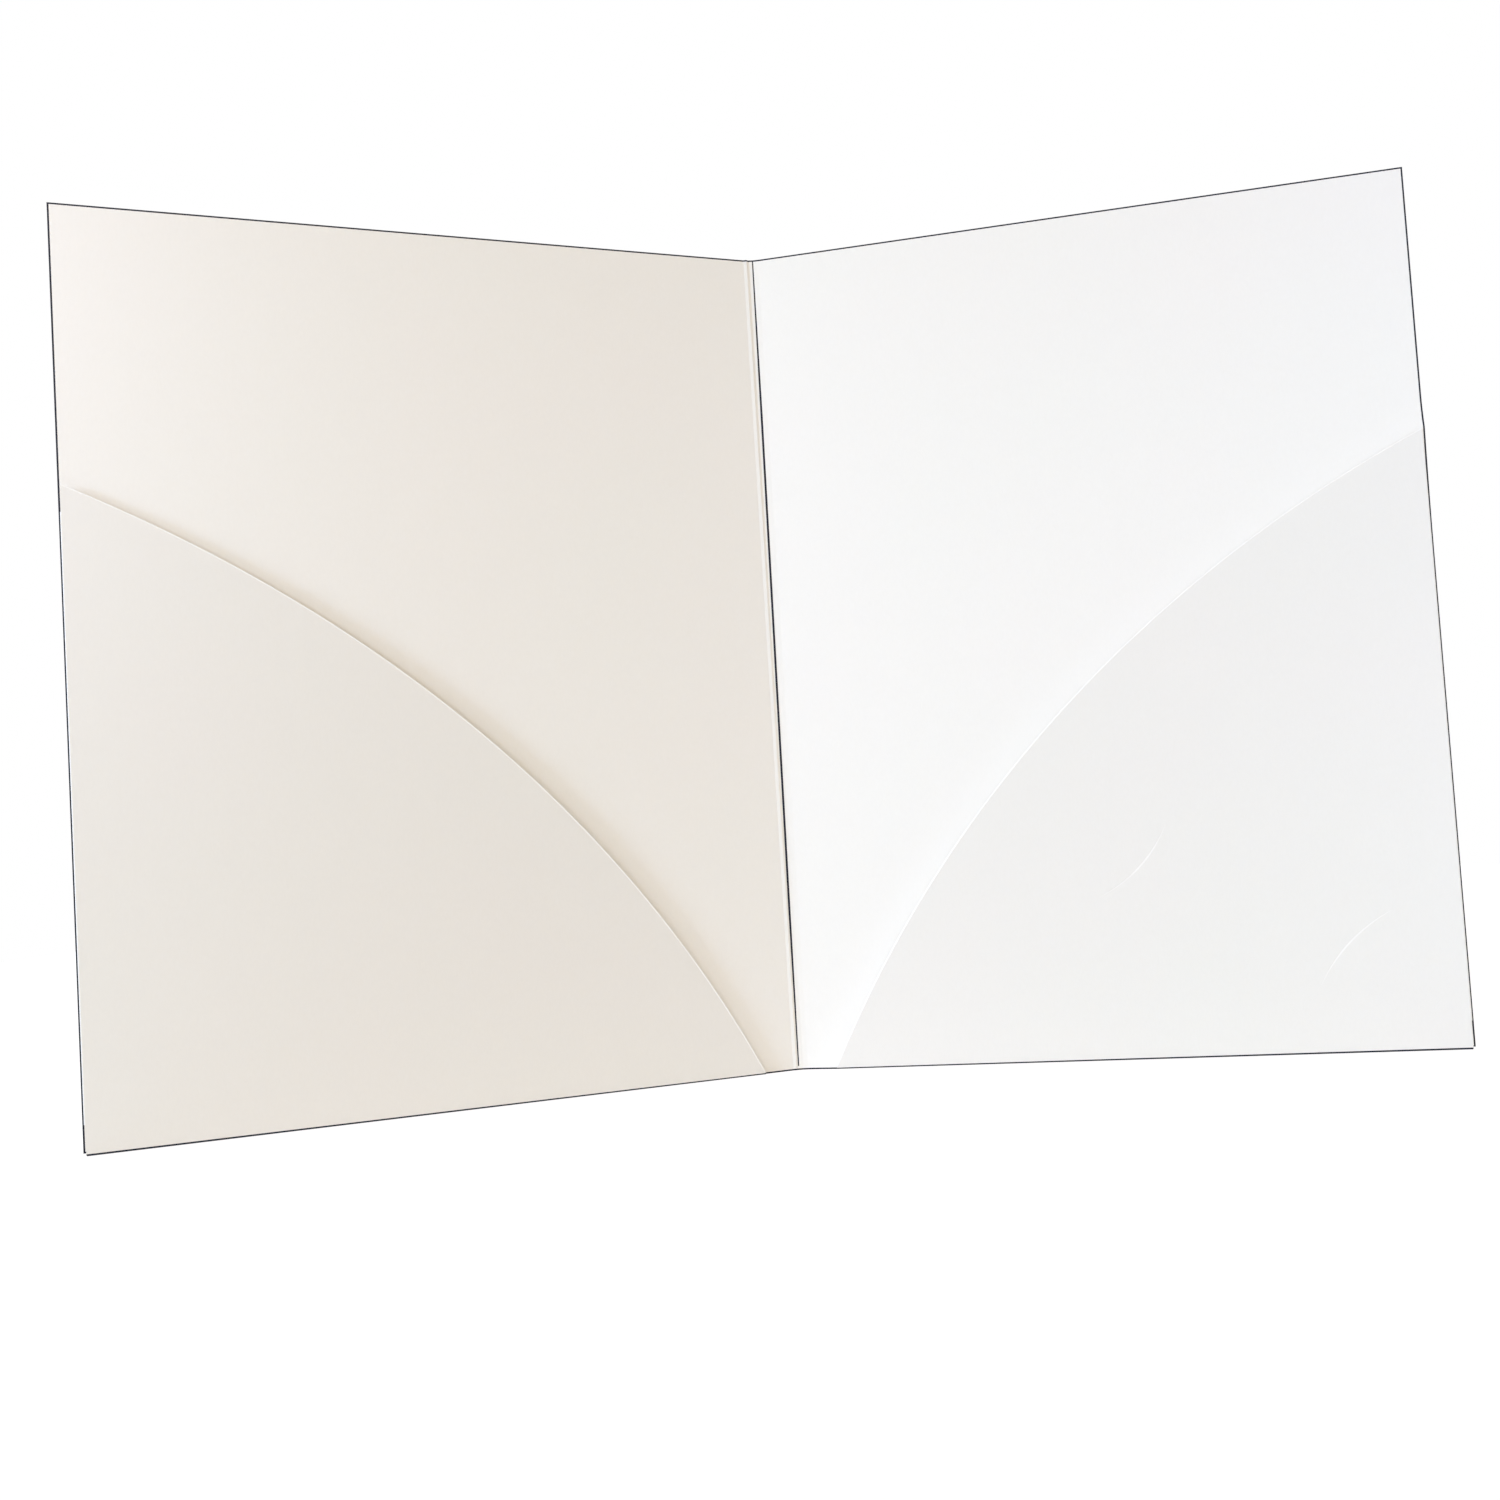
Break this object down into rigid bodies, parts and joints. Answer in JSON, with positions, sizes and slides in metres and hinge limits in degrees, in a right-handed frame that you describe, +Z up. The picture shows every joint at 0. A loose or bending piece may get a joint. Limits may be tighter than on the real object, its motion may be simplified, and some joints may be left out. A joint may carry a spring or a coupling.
{
  "type": "two pocket folder",
  "caption": "White card folder, open and standing, with curved-edge pockets glued inside both covers, a creased spine and slits for a name card.",
  "frame": {"origin": "on the floor, under the middle of the open folder's box", "axes": "+X to the right along the open folder, +Y to the back of the spine, +Z up along the creases"},
  "size_m": [0.4534, 0.041, 0.3048],
  "materials": {
    "card": "matte, fine fibre grain",
    "glue": "dried glue"
  },
  "bodies": {
    "spine": {"spine": "card"},
    "left_cover": {"left_cover": "card", "left_pocket": "card", "left_pocket_fold": "card", "left_glue_tab": "card", "left_tab_fold": "card", "left_glue_line": "glue"},
    "right_cover": {"right_cover": "card", "right_pocket": "card", "right_pocket_fold": "card", "right_glue_tab": "card", "right_tab_fold": "card", "right_glue_line": "glue"},
    "left_pocket_lip": {"left_pocket_lip": "card"},
    "right_pocket_lip": {"right_pocket_lip": "card"},
    "upper_card_tongue": {"upper_card_tongue": "card"},
    "lower_card_tongue": {"lower_card_tongue": "card"}
  },
  "joints": [
    {"name": "left_cover_crease", "type": "hinge", "parent": "spine", "child": "left_cover", "pos_m": [-0.0016, 0.02048, 0.1524], "axis": [0, 0, -1], "range_deg": [-79, 10]},
    {"name": "right_cover_crease", "type": "hinge", "parent": "spine", "child": "right_cover", "pos_m": [0.0016, 0.02048, 0.1524], "axis": [0, 0, 1], "range_deg": [-79, 10]},
    {"name": "left_lip_flex", "type": "hinge", "parent": "left_cover", "child": "left_pocket_lip", "pos_m": [-0.11901, -0.00176, 0.10658], "axis": [0.7027, 0.1239, -0.7006], "range_deg": [0, 25], "stiffness_Nm_per_rad": 0.05},
    {"name": "right_lip_flex", "type": "hinge", "parent": "right_cover", "child": "right_pocket_lip", "pos_m": [0.11901, -0.00176, 0.10658], "axis": [0.7027, -0.1239, 0.7006], "range_deg": [0, 25], "stiffness_Nm_per_rad": 0.05},
    {"name": "upper_tongue_flex", "type": "hinge", "parent": "right_cover", "child": "upper_card_tongue", "pos_m": [0.12058, -0.00204, 0.06989], "axis": [-0.6964, 0.1228, -0.7071], "range_deg": [0, 20], "stiffness_Nm_per_rad": 0.00005},
    {"name": "lower_tongue_flex", "type": "hinge", "parent": "right_cover", "child": "lower_card_tongue", "pos_m": [0.19156, -0.01455, 0.03591], "axis": [0.6964, -0.1228, 0.7071], "range_deg": [0, 20], "stiffness_Nm_per_rad": 0.00005}
  ]
}
